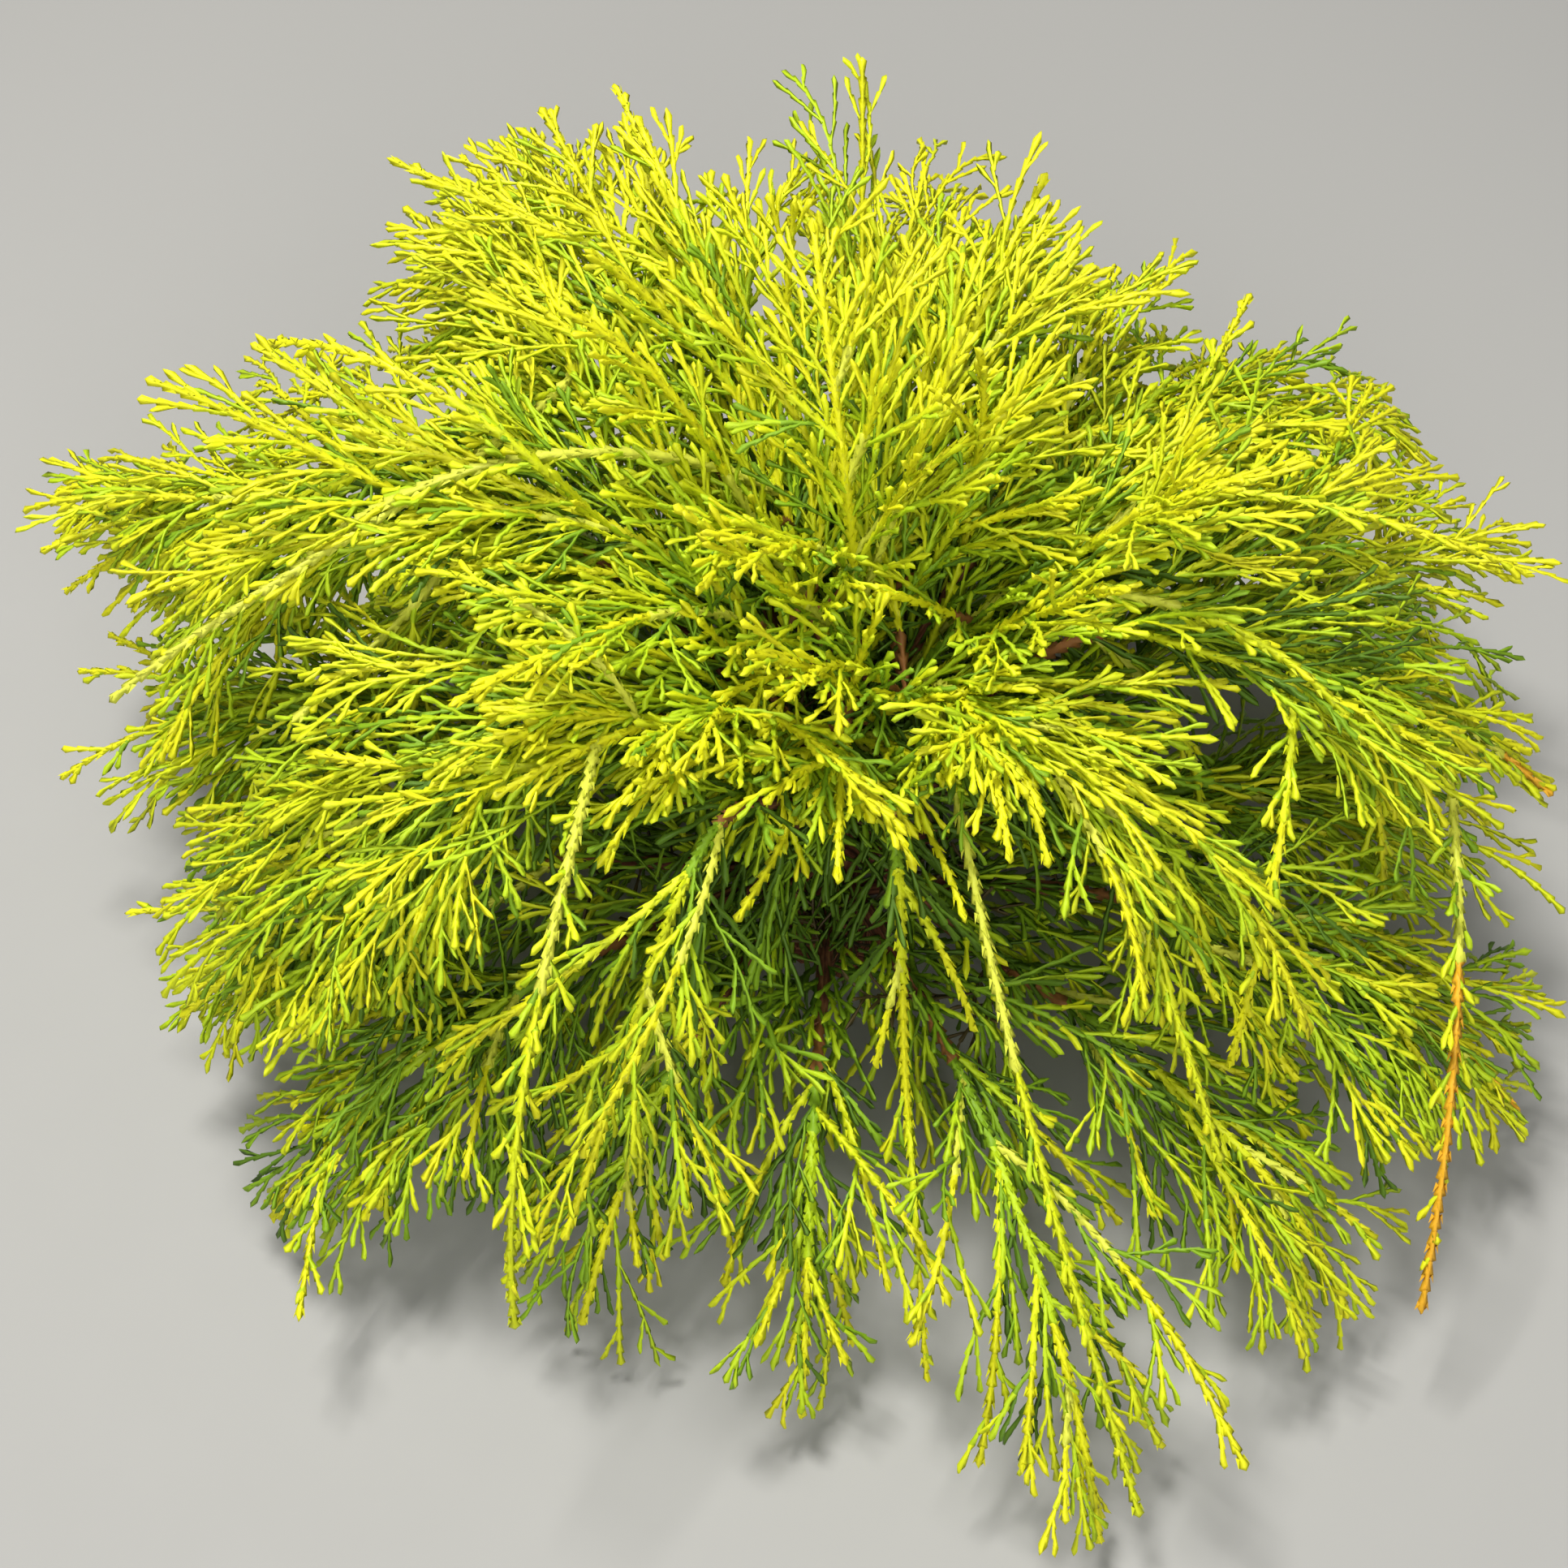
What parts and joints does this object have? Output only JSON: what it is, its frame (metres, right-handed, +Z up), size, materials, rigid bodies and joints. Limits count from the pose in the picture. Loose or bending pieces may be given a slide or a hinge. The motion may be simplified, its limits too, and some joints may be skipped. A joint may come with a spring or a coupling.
{
  "type": "sawara cypress shrub",
  "caption": "Low weeping thread-leaf conifer with a mop-shaped golden crown: a short flared trunk, arching boughs and hanging cord-like foliage down to the ground.",
  "frame": {"origin": "centre of the flat cut under the trunk, at ground level", "axes": "+Z up; -Y towards the side the picture was taken from; +X to the right as seen from there"},
  "size_m": [0.512, 0.4419, 0.2787],
  "materials": {
    "bark": "rough red-brown fibrous bark",
    "foliage": "soft satin golden-yellow to green scale leaves"
  },
  "bodies": {
    "root": {"trunk": "bark", "bough_skirt_01": "bark", "bough_skirt_02": "bark", "bough_skirt_03": "bark", "bough_skirt_04": "bark", "bough_skirt_05": "bark", "bough_skirt_06": "bark", "bough_skirt_07": "bark", "bough_skirt_08": "bark", "bough_skirt_09": "bark", "bough_skirt_10": "bark", "bough_skirt_11": "bark", "bough_skirt_12": "bark", "bough_skirt_13": "bark", "bough_skirt_14": "bark", "bough_skirt_15": "bark", "bough_shoulder_01": "bark", "bough_shoulder_02": "bark", "bough_shoulder_03": "bark", "bough_shoulder_04": "bark", "bough_shoulder_05": "bark", "bough_shoulder_06": "bark", "bough_shoulder_07": "bark", "bough_shoulder_08": "bark", "bough_shoulder_09": "bark", "foliage_skirt_01": "foliage", "foliage_skirt_02": "foliage", "foliage_skirt_03": "foliage", "foliage_skirt_04": "foliage", "foliage_skirt_05": "foliage", "foliage_skirt_06": "foliage", "foliage_skirt_07": "foliage", "foliage_skirt_08": "foliage", "foliage_skirt_09": "foliage", "foliage_skirt_10": "foliage", "foliage_skirt_11": "foliage", "foliage_skirt_12": "foliage", "foliage_skirt_13": "foliage", "foliage_skirt_14": "foliage", "foliage_skirt_15": "foliage", "foliage_shoulder_01": "foliage", "foliage_shoulder_02": "foliage", "foliage_shoulder_03": "foliage", "foliage_shoulder_04": "foliage", "foliage_shoulder_05": "foliage", "foliage_shoulder_06": "foliage", "foliage_shoulder_07": "foliage", "foliage_shoulder_08": "foliage", "foliage_shoulder_09": "foliage", "foliage_crest_01": "foliage", "foliage_crest_02": "foliage", "foliage_crest_03": "foliage", "foliage_crest_04": "foliage", "foliage_crest_05": "foliage", "foliage_crest_06": "foliage", "foliage_crest_07": "foliage", "foliage_apex": "foliage"}
  },
  "joints": []
}
